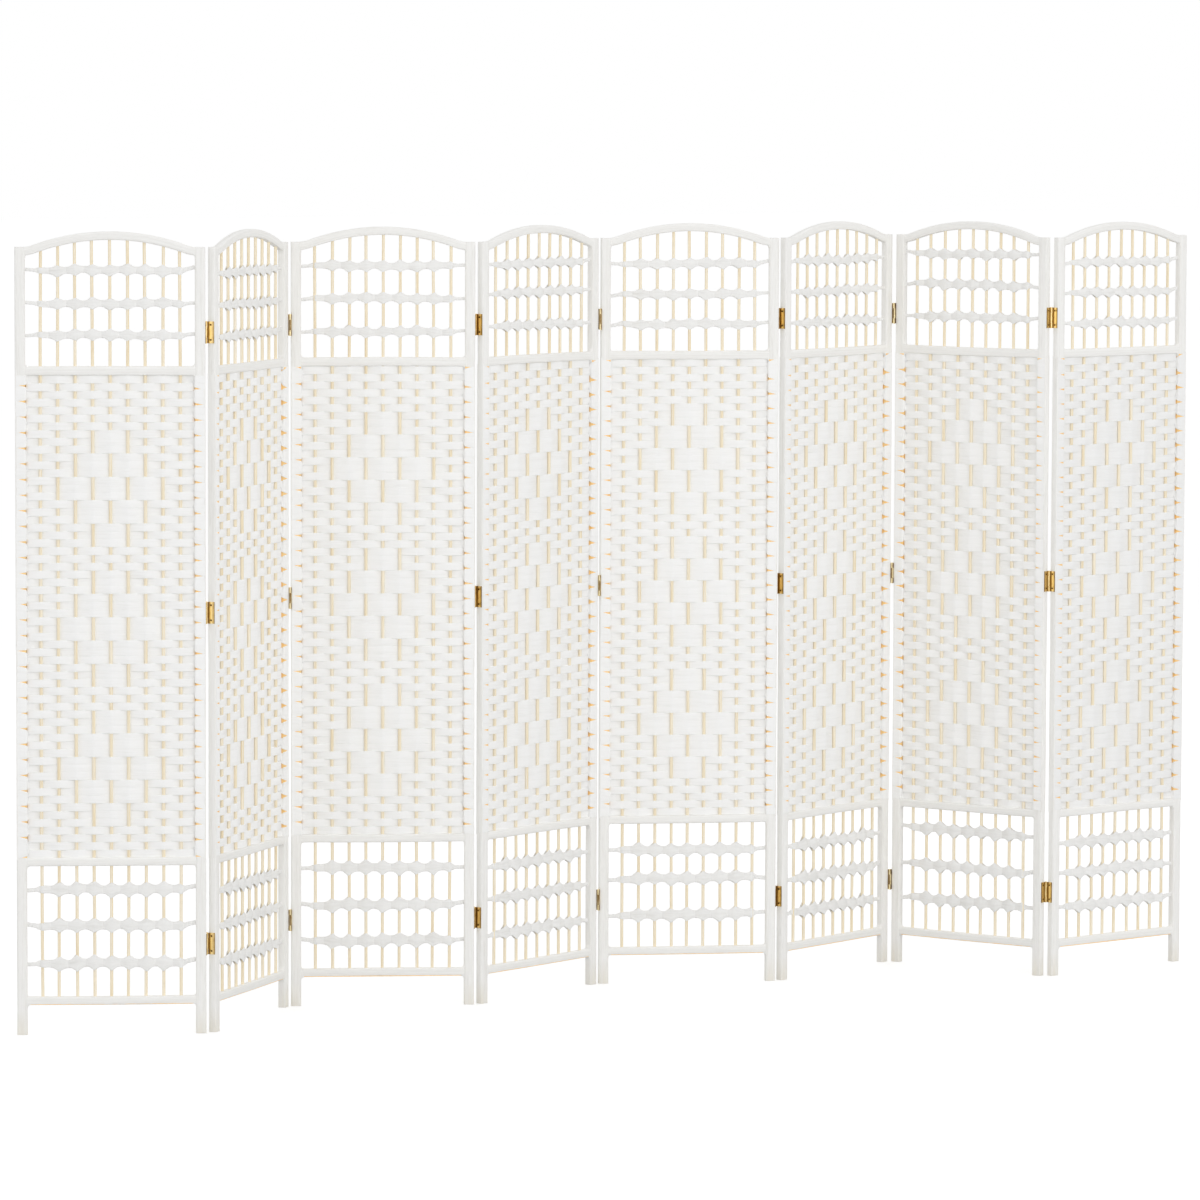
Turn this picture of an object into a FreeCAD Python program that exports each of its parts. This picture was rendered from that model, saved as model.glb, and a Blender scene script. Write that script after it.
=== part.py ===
import FreeCAD, Part
import math
import os

from FreeCAD import Placement, Rotation, Vector

# Woven folding screen: panels of rods and ribbons in a wooden frame, hinged in a zigzag.
# Millimetres, +Z up. The origin is on the floor, under the middle of the standing screen.
# A panel is drawn with its left edge at x = 0, its front towards -Y and its feet at z = 0.

# How the screen stands: the heading of each panel about +Z, in degrees.
headings = [-20.0, 45.0, -20.0, 26.0, -17.0, 26.0, -60.0, 14.0]

# Frame
panel_width = 400.0
stile_height = 1668.0
stile_face = 22.0
stile_depth = 17.0
rail_depth = 15.0
edge_bevel = 2.0
bottom_rail_z = 64.0
bottom_rail_height = 17.0
lower_rail_z = 360.0
lower_rail_height = 17.0
upper_rail_drop = 270.0
upper_rail_height = 19.0
arch_spring_drop = 4.0
arch_rise = 36.0
arch_height = 17.0

# Rail tenons
tenon_height = 9.0
tenon_depth = 7.0
tenon_length = 11.0
tenon_clearance = 0.15
tenon_end_gap = 0.8

# Rods
rod_count = 9
rod_diameter = 5.5
rod_edge_space = 30.8
rod_clearance = 0.15
rod_seat_depth = 9.0
rod_end_gap = 0.5

# Twined bands of the open lattice
band_count = 3
upper_band_spacing = 68.5
lower_band_start = 71.0
lower_band_spacing = 79.5
band_height_at_rod = 28.0
band_height_between = 17.0
band_height_at_stile = 6.0
band_flat = 8.0
ribbon_thickness = 1.3
twine_run = 12.0

# Woven field
course_count = 62
top_courses = 6
courses_between = 3
courses_per_step = 3
diamond_count = 3
diamond_rod_counts = [1, 2, 3, 2, 1]
slot_margin = 0.6
weave_clearance = 0.2

# Hinges
low_hinge_z = 190.0
top_hinge_drop = 180.0
middle_hinge_lift = 56.0
hinge_height = 46.0
leaf_width = 15.0
leaf_thickness = 1.2
leaf_gap = 0.6
barrel_radius = 3.0
barrel_clearance = 0.2
knuckle_gap = 0.3
pin_radius = 1.5
pin_clearance = 0.05
pin_button_radius = 2.3
pin_button_height = 0.8
screw_hole_radius = 1.7
screw_hole_inset = 7.0

# Sizes that follow from those above
inner_left = stile_face
inner_right = panel_width - stile_face
middle = panel_width / 2
rod_radius = rod_diameter / 2
rod_bore = rod_radius + rod_clearance
first_rod = inner_left + rod_edge_space
rod_pitch = (inner_right - inner_left - 2 * rod_edge_space) / (rod_count - 1)
rod_places = [first_rod + rod_pitch * i for i in range(rod_count)]
half_span = (inner_right - inner_left) / 2
upper_rail_z = stile_height - upper_rail_drop
arch_spring_z = stile_height - arch_spring_drop
arch_crown_z = arch_spring_z + arch_rise
arch_radius = (half_span ** 2 + arch_rise ** 2) / (2 * arch_rise)
arch_centre_z = arch_crown_z - arch_radius
field_bottom = lower_rail_z + lower_rail_height + weave_clearance
field_top = upper_rail_z - weave_clearance
course_pitch = (field_top - field_bottom) / course_count
top_hinge_z = stile_height - top_hinge_drop
hinge_heights = [low_hinge_z, (low_hinge_z + top_hinge_z) / 2 + middle_hinge_lift, top_hinge_z]
panel_gap = 2 * leaf_thickness + leaf_gap
axis_depth = stile_depth / 2 + barrel_radius + barrel_clearance


def arch_z(x, radius):
    """Height of the arch of this radius over the place x."""
    return arch_centre_z + math.sqrt(radius ** 2 - (x - middle) ** 2)


def arch_tenon_z():
    """Middle height of the arch where it meets the stiles."""
    return (arch_spring_z + arch_z(inner_left, arch_radius - arch_height)) / 2


def box(x, y, z):
    """Box between the limits given as pairs."""
    corner = Vector(x[0], y[0], z[0])
    return Part.makeBox(x[1] - x[0], y[1] - y[0], z[1] - z[0], corner)


def polygon(points):
    """Face in the plane of the points."""
    return Part.Face(Part.makePolygon(points + points[:1]))


def upright(x, radius, z0, z1, y=0.0):
    """Upright cylinder."""
    return Part.makeCylinder(radius, z1 - z0, Vector(x, y, z0))


def eased(solid, keep):
    """Solid with a bevel on the edges that keep picks."""
    return solid.makeChamfer(edge_bevel, [e for e in solid.Edges if keep(e)])


def rail_middles():
    """Middle height of each rail at the stiles, from the bottom up."""
    return [
        bottom_rail_z + bottom_rail_height / 2,
        lower_rail_z + lower_rail_height / 2,
        upper_rail_z + upper_rail_height / 2,
        arch_tenon_z(),
    ]


def stile(left):
    """One upright of the frame, with a mortise for each rail."""
    x0 = 0.0 if left else inner_right
    depth = (-stile_depth / 2, stile_depth / 2)
    blank = box((x0, x0 + stile_face), depth, (0, stile_height))
    blank = eased(blank, lambda e: e.BoundBox.ZLength > stile_height / 2)
    reach = tenon_length + tenon_end_gap
    across = (inner_left - reach, inner_left) if left else (inner_right, inner_right + reach)
    half_y = tenon_depth / 2 + tenon_clearance
    half_z = tenon_height / 2 + tenon_clearance
    for z in rail_middles():
        blank = blank.cut(box(across, (-half_y, half_y), (z - half_z, z + half_z)))
    return blank


def with_tenons(rail, z):
    """Rail with a stub tenon at each end."""
    across = (inner_left - tenon_length, inner_right + tenon_length)
    y = tenon_depth / 2
    bar = box(across, (-y, y), (z - tenon_height / 2, z + tenon_height / 2))
    body = box((inner_left, inner_right), (-y, y), (z - tenon_height, z + tenon_height))
    return rail.fuse(bar.cut(body)).removeSplitter()


def straight_rail(z, height, blind):
    """Cross rail, drilled for the rods; blind seats open upwards."""
    depth = (-rail_depth / 2, rail_depth / 2)
    rail = box((inner_left, inner_right), depth, (z, z + height))
    rail = eased(rail, lambda e: e.BoundBox.XLength > half_span)
    rail = with_tenons(rail, z + height / 2)
    start = z + height - rod_seat_depth - rod_end_gap if blind else z
    drills = [upright(x, rod_bore, start, z + height) for x in rod_places]
    return rail.cut(Part.makeCompound(drills))


def arched_rail():
    """Bowed top rail, with blind seats for the rod tops."""
    y = -rail_depth / 2
    under = arch_radius - arch_height
    spring = arch_z(inner_left, under)
    crown = Vector(middle, y, arch_crown_z)
    start, end = Vector(inner_left, y, arch_spring_z), Vector(inner_right, y, arch_spring_z)
    low_start, low_end = Vector(inner_left, y, spring), Vector(inner_right, y, spring)
    low_crown = Vector(middle, y, arch_crown_z - arch_height)
    outline = Part.Wire([
        Part.Arc(start, crown, end).toShape(),
        Part.makeLine(end, low_end),
        Part.Arc(low_end, low_crown, low_start).toShape(),
        Part.makeLine(low_start, start),
    ])
    rail = Part.Face(outline).extrude(Vector(0, rail_depth, 0))
    rail = eased(rail, lambda e: e.BoundBox.XLength > half_span)
    rail = with_tenons(rail, arch_tenon_z())
    drills = []
    for x in rod_places:
        top = arch_z(x, under) + rod_seat_depth + rod_end_gap
        drills.append(upright(x, rod_bore, spring - arch_height, top))
    return rail.cut(Part.makeCompound(drills))


def rods():
    """The upright rods, from the bottom rail to the arch."""
    foot = bottom_rail_z + bottom_rail_height - rod_seat_depth
    under = arch_radius - arch_height
    return [upright(x, rod_radius, foot, arch_z(x, under) + rod_seat_depth) for x in rod_places]


def band_plan():
    """Plan of a twined band: two ribbons that part round every rod."""
    shallow = ribbon_thickness
    deep = rod_bore + ribbon_thickness
    front = [Vector(inner_left + weave_clearance, -shallow, 0)]
    for x in rod_places:
        front.append(Vector(x - twine_run, -shallow, 0))
        front.append(Vector(x - band_flat / 2, -deep, 0))
        front.append(Vector(x + band_flat / 2, -deep, 0))
        front.append(Vector(x + twine_run, -shallow, 0))
    front.append(Vector(inner_right - weave_clearance, -shallow, 0))
    back = [Vector(p.x, -p.y, 0) for p in reversed(front)]
    outline = Part.makePolygon(front + back + front[:1])
    eyes = [Part.Wire(Part.makeCircle(rod_bore, Vector(x, 0, 0))) for x in rod_places]
    return Part.Face([outline] + eyes, "Part::FaceMakerBullseye")


def band_edge(sign):
    """Upper or lower edge of a twined band, scalloped between the rods, from left to right."""
    wide = sign * band_height_at_rod / 2
    waist = sign * band_height_between / 2
    thin = sign * band_height_at_stile / 2
    scoop = abs(wide - thin)
    flat = band_flat / 2
    bow = scoop * (1 - math.sqrt(0.5))
    start = rod_places[0] - flat
    edges = []
    left = [Vector(inner_left, 0, thin), Vector(start - scoop, 0, thin)]
    edges.append(Part.makeLine(*left))
    knee = Vector(start - bow, 0, thin + (wide - thin) * (1 - math.sqrt(0.5)))
    edges.append(Part.Arc(left[1], knee, Vector(start, 0, wide)).toShape())
    for i, x in enumerate(rod_places):
        edges.append(Part.makeLine(Vector(x - flat, 0, wide), Vector(x + flat, 0, wide)))
        if i + 1 < rod_count:
            low = Vector(x + rod_pitch / 2, 0, waist)
            end = Vector(x + rod_pitch - flat, 0, wide)
            edges.append(Part.Arc(Vector(x + flat, 0, wide), low, end).toShape())
    mirrored = [e.mirror(Vector(middle, 0, 0), Vector(1, 0, 0)) for e in edges[:2]]
    return edges + mirrored[::-1]


def twined_band():
    """One band of the open lattice, drawn about z = 0."""
    half = band_height_at_rod / 2
    deep = rod_bore + ribbon_thickness
    plan = band_plan().extrude(Vector(0, 0, 2 * half))
    plan.translate(Vector(0, 0, -half))
    thin = band_height_at_stile / 2
    ends = []
    for x in (inner_left, inner_right):
        ends.append(Part.makeLine(Vector(x, 0, -thin), Vector(x, 0, thin)))
    outline = Part.Wire(Part.__sortEdges__(band_edge(1) + band_edge(-1) + ends))
    front = Part.Face(outline).extrude(Vector(0, 2 * deep, 0))
    front.translate(Vector(0, -deep, 0))
    return plan.common(front)


def bands():
    """All twined bands of a panel."""
    pattern = twined_band()
    lower = bottom_rail_z + bottom_rail_height + lower_band_start
    upper = upper_rail_z + upper_rail_height + upper_band_spacing
    heights = [lower + lower_band_spacing * i for i in range(band_count)]
    heights += [upper + upper_band_spacing * i for i in range(band_count)]
    made = []
    for z in heights:
        band = pattern.copy()
        band.translate(Vector(0, 0, z))
        made.append(band)
    return made


def slots(front):
    """Windows of the diamonds: rod number, lower and upper height of each."""
    centre = (rod_count - 1) // 2
    step = courses_per_step * course_pitch
    top = field_top - top_courses * course_pitch
    found = []
    for _ in range(diamond_count):
        for half in diamond_rod_counts:
            first = half if front else half - 1
            for rod in range(centre - first, centre + first + 1, 2):
                found.append((rod, top - step + slot_margin, top - slot_margin))
            top -= step
        top -= courses_between * course_pitch
    return found


def woven_face(front):
    """Front or back ribbon layer of the woven field, open where rods show in the diamonds."""
    near = rod_bore
    far = near + ribbon_thickness
    y = -far if front else near
    left = inner_left + weave_clearance
    right = inner_right - weave_clearance
    outline = [
        Vector(left, y, field_bottom),
        Vector(right, y, field_bottom),
        Vector(right, y, field_top),
        Vector(left, y, field_top),
    ]
    wires = [Part.makePolygon(outline + outline[:1])]
    reach = rod_radius + slot_margin
    for rod, low, high in slots(front):
        x = rod_places[rod]
        hole = [
            Vector(x - reach, y, low),
            Vector(x + reach, y, low),
            Vector(x + reach, y, high),
            Vector(x - reach, y, high),
        ]
        wires.append(Part.makePolygon(hole + hole[:1]))
    sheet = Part.Face(wires, "Part::FaceMakerBullseye")
    return sheet.extrude(Vector(0, ribbon_thickness, 0))


def knuckle_spans(outer):
    """Height ranges of the knuckles: two at the ends, or the long one between them."""
    half = hinge_height / 2
    inner = hinge_height / 4
    gap = knuckle_gap / 2
    if outer:
        return [(-half, -inner - gap), (inner + gap, half)]
    return [(-inner + gap, inner - gap)]


def hinge_leaf(left):
    """Leaf on a panel's right or left edge, valley towards +Y, drawn about z = 0."""
    axis = panel_width + panel_gap / 2 if left else -panel_gap / 2
    x = (panel_width, panel_width + leaf_thickness) if left else (-leaf_thickness, 0.0)
    half = hinge_height / 2
    leaf = box(x, (stile_depth / 2 - leaf_width, axis_depth), (-half, half))
    for low, high in knuckle_spans(not left):
        low, high = low - knuckle_gap, high + knuckle_gap
        leaf = leaf.cut(upright(axis, barrel_radius + knuckle_gap, low, high, axis_depth))
    for low, high in knuckle_spans(left):
        leaf = leaf.fuse(upright(axis, barrel_radius, low, high, axis_depth))
    leaf = leaf.cut(upright(axis, pin_radius + pin_clearance, -half, half, axis_depth))
    y = (stile_depth - leaf_width) / 2
    for z in (-half + screw_hole_inset, half - screw_hole_inset):
        start = Vector(x[0], y, z)
        leaf = leaf.cut(Part.makeCylinder(screw_hole_radius, leaf_thickness, start, Vector(1, 0, 0)))
    return leaf.removeSplitter()


def hinge_pin():
    """Pin with a button at each end; it stays with the leaf that has two knuckles."""
    axis = panel_width + panel_gap / 2
    half = hinge_height / 2
    tip = half + pin_button_height
    pin = upright(axis, pin_radius, -tip, tip, axis_depth)
    pin = pin.fuse(upright(axis, pin_button_radius, half, tip, axis_depth))
    pin = pin.fuse(upright(axis, pin_button_radius, -tip, -half, axis_depth))
    return pin.removeSplitter()


def hinge_row(pattern, back):
    """One hinge piece at every hinge height, valley at the back or at the front."""
    made = []
    for z in hinge_heights:
        piece = pattern.copy()
        if not back:
            piece.rotate(Vector(0, 0, 0), Vector(1, 0, 0), 180)
        piece.translate(Vector(0, 0, z))
        made.append(piece)
    return made


def valley_behind(line):
    """True when the panels at this hinge line fold back to back."""
    return headings[line + 1] > headings[line]


def panel_frames():
    """Placement of every panel, chained through the hinge axes."""
    frames = [Placement(Vector(0, 0, 0), Rotation(Vector(0, 0, 1), headings[0]))]
    for line in range(len(headings) - 1):
        depth = axis_depth if valley_behind(line) else -axis_depth
        axis = frames[-1].multVec(Vector(panel_width + panel_gap / 2, depth, 0))
        turn = Rotation(Vector(0, 0, 1), headings[line + 1])
        start = axis - turn.multVec(Vector(-panel_gap / 2, depth, 0))
        frames.append(Placement(start, turn))
    return frames


def hinge_axes(frames):
    """Foot of every hinge axis on the floor."""
    feet = []
    for line in range(len(headings) - 1):
        depth = axis_depth if valley_behind(line) else -axis_depth
        feet.append(frames[line].multVec(Vector(panel_width + panel_gap / 2, depth, 0)))
    return feet


def placed(solids, frame):
    """Compound of the solids, moved to a panel's place."""
    moved = []
    for solid in solids:
        piece = solid.copy()
        piece.Placement = frame.multiply(piece.Placement)
        moved.append(piece)
    return Part.makeCompound(moved)


def panel_pieces():
    """Solids of one panel, by piece name."""
    return {
        "stiles": [stile(True), stile(False)],
        "rails": [
            straight_rail(bottom_rail_z, bottom_rail_height, True),
            straight_rail(lower_rail_z, lower_rail_height, False),
            straight_rail(upper_rail_z, upper_rail_height, False),
            arched_rail(),
        ],
        "rods": rods(),
        "twined_bands": bands(),
        "woven_field": [woven_face(True), woven_face(False)],
    }


def centred(frames):
    """Frames moved so that the middle of the plan is at the origin."""
    y = stile_depth / 2
    corners = []
    for frame in frames:
        for x in (0.0, panel_width):
            corners += [frame.multVec(Vector(x, -y, 0)), frame.multVec(Vector(x, y, 0))]
    xs = [c.x for c in corners]
    ys = [c.y for c in corners]
    shift = Vector(-(min(xs) + max(xs)) / 2, -(min(ys) + max(ys)) / 2, 0)
    return [Placement(f.Base + shift, f.Rotation) for f in frames]


frames = centred(panel_frames())
nodes = {}
pieces = panel_pieces()
for number, frame in enumerate(frames, 1):
    for name, solids in pieces.items():
        nodes[f"panel_{number}_{name}"] = placed(solids, frame)

pin_leaf, free_leaf, pin = hinge_leaf(True), hinge_leaf(False), hinge_pin()
for line in range(len(frames) - 1):
    back = valley_behind(line)
    label = f"hinges_{line + 1}_{line + 2}"
    fixed = hinge_row(pin_leaf, back) + hinge_row(pin, back)
    nodes[f"{label}_pinned_leaves"] = placed(fixed, frames[line])
    nodes[f"{label}_free_leaves"] = placed(hinge_row(free_leaf, back), frames[line + 1])

os.makedirs("parts", exist_ok=True)
for name, shape in nodes.items():
    shape.exportStep(f"parts/{name}.step")
print(len(nodes), "pieces written")
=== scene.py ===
import math
import random

import bpy
from mathutils import Matrix, Vector


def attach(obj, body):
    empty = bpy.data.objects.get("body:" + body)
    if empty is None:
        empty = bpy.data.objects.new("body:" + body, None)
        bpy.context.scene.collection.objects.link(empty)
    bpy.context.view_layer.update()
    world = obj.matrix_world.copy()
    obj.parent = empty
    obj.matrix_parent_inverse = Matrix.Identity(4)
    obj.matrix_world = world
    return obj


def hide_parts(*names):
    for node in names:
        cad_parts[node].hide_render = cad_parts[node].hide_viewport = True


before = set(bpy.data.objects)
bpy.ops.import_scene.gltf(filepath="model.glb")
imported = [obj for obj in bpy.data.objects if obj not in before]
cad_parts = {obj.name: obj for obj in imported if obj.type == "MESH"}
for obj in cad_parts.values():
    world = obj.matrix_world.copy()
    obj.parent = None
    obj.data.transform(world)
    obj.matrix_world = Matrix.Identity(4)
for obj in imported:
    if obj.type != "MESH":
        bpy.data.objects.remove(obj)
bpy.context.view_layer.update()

mm = 0.001

# the standing screen, as the solids have it (metres)
screen = {
    "headings": [-20, 45, -20, 26, -17, 26, -60, 14],  # degrees about +Z, left to right
    "width": 0.400,
    "gap": 3.0 * mm,
    "axisDepth": 11.7 * mm,
    "stileFace": 22 * mm,
    "stileDepth": 17 * mm,
    "stileHeight": 1.668,
    "railDepth": 15 * mm,
    "bottomRail": (0.064, 0.081),
    "lowerRail": (0.360, 0.377),
    "upperRail": (1.398, 1.417),
    "archSpring": 1.664,
    "archRise": 0.036,
    "archHeight": 17 * mm,
    "rodCount": 9,
    "rodEdge": 30.8 * mm,
    "rodRadius": 2.75 * mm,
    "rodClearance": 0.15 * mm,  # between a rod and the ribbon round it
    "hingeHeights": (0.190, 0.895, 1.488),
    "hingeHeight": 46 * mm,
    "leafWidth": 15 * mm,
}
panelCount = len(screen["headings"])
innerLeft = screen["stileFace"]
innerRight = screen["width"] - screen["stileFace"]
middle = screen["width"] / 2
rodPitch = (innerRight - innerLeft - 2 * screen["rodEdge"]) / (screen["rodCount"] - 1)
rodPlaces = [innerLeft + screen["rodEdge"] + rodPitch * i for i in range(screen["rodCount"])]
middleRod = (screen["rodCount"] + 1) // 2  # rods count from 1
halfSpan = middle - innerLeft
archRadius = (halfSpan**2 + screen["archRise"] ** 2) / (2 * screen["archRise"])
archCentre = screen["archSpring"] + screen["archRise"] - archRadius
archEase = {"level": 1.6664, "blend": 3.0 * mm}


def archZ(x, radius):
    return archCentre + math.sqrt(radius**2 - (x - middle) ** 2)


def archTop(x):
    # the paper wrap eases the arch into the level top of the stile
    over = archZ(x, archRadius) - archEase["level"]
    return archEase["level"] + (over + math.sqrt(over**2 + archEase["blend"] ** 2)) / 2


def turned(degrees):
    return Matrix.Rotation(math.radians(degrees), 4, "Z")


def panelPlaces():
    places = [turned(screen["headings"][0])]
    for line in range(panelCount - 1):
        here, there = screen["headings"][line : line + 2]
        depth = screen["axisDepth"] if there > here else -screen["axisDepth"]
        axis = places[-1] @ Vector((screen["width"] + screen["gap"] / 2, depth, 0))
        start = axis - turned(there) @ Vector((-screen["gap"] / 2, depth, 0))
        places.append(Matrix.Translation(start) @ turned(there))
    half = screen["stileDepth"] / 2
    feet = [Vector((x, y, 0)) for x in (0, screen["width"]) for y in (-half, half)]
    corners = [place @ foot for place in places for foot in feet]
    middleX = (min(c.x for c in corners) + max(c.x for c in corners)) / 2
    middleY = (min(c.y for c in corners) + max(c.y for c in corners)) / 2
    return [Matrix.Translation((-middleX, -middleY, 0)) @ place for place in places]


def jitter(rng, reach):
    return rng.uniform(-reach, reach)


places = panelPlaces()
print("panels placed:", panelCount)


# helpers for node trees
def newMaterial(name):
    material = bpy.data.materials.new(name)
    material.use_nodes = True
    tree = material.node_tree
    return material, tree, tree.nodes["Principled BSDF"]


def addNode(tree, kind, feeds=None, **settings):
    node = tree.nodes.new(kind)
    for key, value in settings.items():
        setattr(node, key, value)
    for key, source in (feeds or {}).items():
        if isinstance(source, bpy.types.NodeSocket):
            tree.links.new(source, node.inputs[key])
        else:
            node.inputs[key].default_value = source
    return node


def mathNode(tree, operation, *values):
    node = addNode(tree, "ShaderNodeMath", dict(enumerate(values)), operation=operation)
    return node.outputs[0]


def attributeValue(tree, name):
    return addNode(tree, "ShaderNodeAttribute", attribute_name=name).outputs["Fac"]


def noiseValue(tree, place, scale, detail, roughness=0.5):
    feeds = {"Vector": place, "Scale": scale, "Detail": detail, "Roughness": roughness}
    return addNode(tree, "ShaderNodeTexNoise", feeds).outputs["Fac"]


def colourRamp(tree, factor, stops):
    node = addNode(tree, "ShaderNodeValToRGB", {"Fac": factor})
    band = node.color_ramp.elements
    while len(band) < len(stops):
        band.new(0.5)
    for element, (place, colour) in zip(band, stops):
        element.position = place
        element.color = (*colour, 1)
    return node.outputs["Color"]


def addBump(tree, shader, height, strength, depth):
    bump = addNode(tree, "ShaderNodeBump", {"Height": height, "Strength": strength, "Distance": depth})
    tree.links.new(bump.outputs["Normal"], shader.inputs["Normal"])


# paper: ribbon of the woven field, ribbon of the lattice, wrap of the frame
paperLook = {
    "shade": (0.898, 0.895, 0.880),  # painted shade in the fibre creases, over the fibre's own random tone
    "body": (0.937, 0.937, 0.929),
    "light": (0.958, 0.958, 0.953),  # painted highlight on the flattened crowns, over the fibre's own random tone
    "stops": (0.30, 0.47, 0.68),
    "footStain": (0.800, 0.735, 0.590),
    "footHeight": 55 * mm,
    "stainShare": 0.75,
    "streaksAlong": 22.0,  # noise steps per metre along the ribbon
    "streaksAcross": 4.5,  # noise steps over half a ribbon
    "toneSpread": 37.0,
    "fibreDetail": 4.0,
    "fibreRoughness": 0.62,
    "patchScale": 0.23,
    "patchDetail": 1.0,
    "patchShare": 0.35,
    "creaseStrength": 0.55,
    "creaseDepth": 0.35 * mm,
    "roughness": 0.72,
    "specular": 0.35,
}
# lattice and wrap paper keep the painted crease shade and crown highlight, in their own tones
latticeLook = dict(
    paperLook,
    shade=(0.800, 0.793, 0.770),
    body=(0.868, 0.864, 0.848),
    light=(0.915, 0.912, 0.900),
)
wrapLook = dict(
    paperLook,
    shade=(0.820, 0.806, 0.772),
    body=(0.893, 0.886, 0.862),
    light=(0.940, 0.935, 0.917),
    streaksAcross=420.0,  # noise steps per metre round the bar
)


def paperMaterial(name, look):
    material, tree, shader = newMaterial(name)
    run = addNode(tree, "ShaderNodeCombineXYZ", {
        0: mathNode(tree, "MULTIPLY", attributeValue(tree, "along"), look["streaksAlong"]),
        1: mathNode(tree, "MULTIPLY", attributeValue(tree, "across"), look["streaksAcross"]),
        2: mathNode(tree, "MULTIPLY", attributeValue(tree, "tone"), look["toneSpread"]),
    }).outputs[0]
    fibre = noiseValue(tree, run, 1.0, look["fibreDetail"], look["fibreRoughness"])
    patch = noiseValue(tree, run, look["patchScale"], look["patchDetail"])
    fibreShare = mathNode(tree, "MULTIPLY", fibre, 1 - look["patchShare"])
    blended = mathNode(tree, "MULTIPLY_ADD", patch, look["patchShare"], fibreShare)
    tones = (look["shade"], look["body"], look["light"])
    colour = colourRamp(tree, blended, list(zip(look["stops"], tones)))
    place = addNode(tree, "ShaderNodeTexCoord").outputs["Object"]
    height = addNode(tree, "ShaderNodeSeparateXYZ", {0: place}).outputs["Z"]
    feeds = {"Value": height, "From Min": look["footHeight"], "From Max": 0.0, "To Max": look["stainShare"]}
    stainAndWander = addNode(tree, "ShaderNodeMapRange", feeds).outputs[0]
    feeds = {0: mathNode(tree, "MULTIPLY", stainAndWander, patch), 6: colour, 7: (*look["footStain"], 1)}
    colour = addNode(tree, "ShaderNodeMix", feeds, data_type="RGBA").outputs[2]
    # painted light and shade per panel scales the paper's colour
    feeds = {0: colour, "Scale": attributeValue(tree, "paintedShading")}
    colour = addNode(tree, "ShaderNodeVectorMath", feeds, operation="SCALE").outputs[0]
    tree.links.new(colour, shader.inputs["Base Color"])
    # the bump uses the same fibre noise, so painted shade lies in its creases and painted highlight on its
    # crowns
    addBump(tree, shader, fibre, look["creaseStrength"], look["creaseDepth"])
    shader.inputs["Roughness"].default_value = look["roughness"]
    shader.inputs["Specular IOR Level"].default_value = look["specular"]
    return material


# wood and bamboo, with grain that runs up the piece
bambooLook = {
    "dark": (0.83, 0.68, 0.45),
    "body": (0.91, 0.80, 0.59),
    "pale": (0.95, 0.88, 0.74),
    "fine": 260.0,  # noise steps per metre across the grain
    "roughness": 0.55,
}
woodLook = {
    "dark": (0.95, 0.50, 0.16),
    "body": (1.0, 0.64, 0.25),
    "pale": (1.0, 0.74, 0.37),
    "fine": 240.0,
    "roughness": 0.6,
}
grainShape = {
    "stretch": 0.03,  # steps along the grain against steps across it
    "detail": 5.0,
    "roughness": 0.6,
    "stops": (0.28, 0.46, 0.70),
    "strength": 0.4,
    "depth": 0.2 * mm,
}


def grainMaterial(name, look):
    material, tree, shader = newMaterial(name)
    place = addNode(tree, "ShaderNodeTexCoord").outputs["Object"]
    scale = (look["fine"], look["fine"], look["fine"] * grainShape["stretch"])
    stretched = addNode(tree, "ShaderNodeMapping", {"Vector": place, "Scale": scale}).outputs[0]
    grain = noiseValue(tree, stretched, 1.0, grainShape["detail"], grainShape["roughness"])
    tones = (look["dark"], look["body"], look["pale"])
    colour = colourRamp(tree, grain, list(zip(grainShape["stops"], tones)))
    tree.links.new(colour, shader.inputs["Base Color"])
    addBump(tree, shader, grain, grainShape["strength"], grainShape["depth"])
    shader.inputs["Roughness"].default_value = look["roughness"]
    return material


# brass of the leaves and knuckles with painted highlights and painted shade, dark metal of the screws
brassLook = {
    # painted shade, the brass's own colour, and painted highlight
    "paintedDark": (0.20, 0.12, 0.045),
    "body": (0.64, 0.46, 0.19),
    "paintedHighlight": (1.0, 0.88, 0.55),
    "reach": (-8 * mm, 15.5 * mm),  # panel depth that the painted bands below run over
    # the painted bands across a leaf, from its edge to the barrel
    "bands": [
        (0.05, "paintedDark"), (0.17, "body"), (0.36, "paintedHighlight"), (0.50, "body"),
        (0.62, "paintedDark"), (0.72, "body"), (0.84, "paintedHighlight"), (0.97, "paintedDark"),
    ],
    "brushing": (900, 900, 60),
    "brushDetail": 3.0,
    "bandWanderScale": 110.0,
    "bandWanderDetail": 2.0,
    "wander": 0.10,
    "roughness": (0.18, 0.42),
    "scratchStrength": 0.2,
    "scratchDepth": 0.05 * mm,
}
screwLook = {"tone": (0.16, 0.10, 0.045), "roughness": 0.35}


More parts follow.
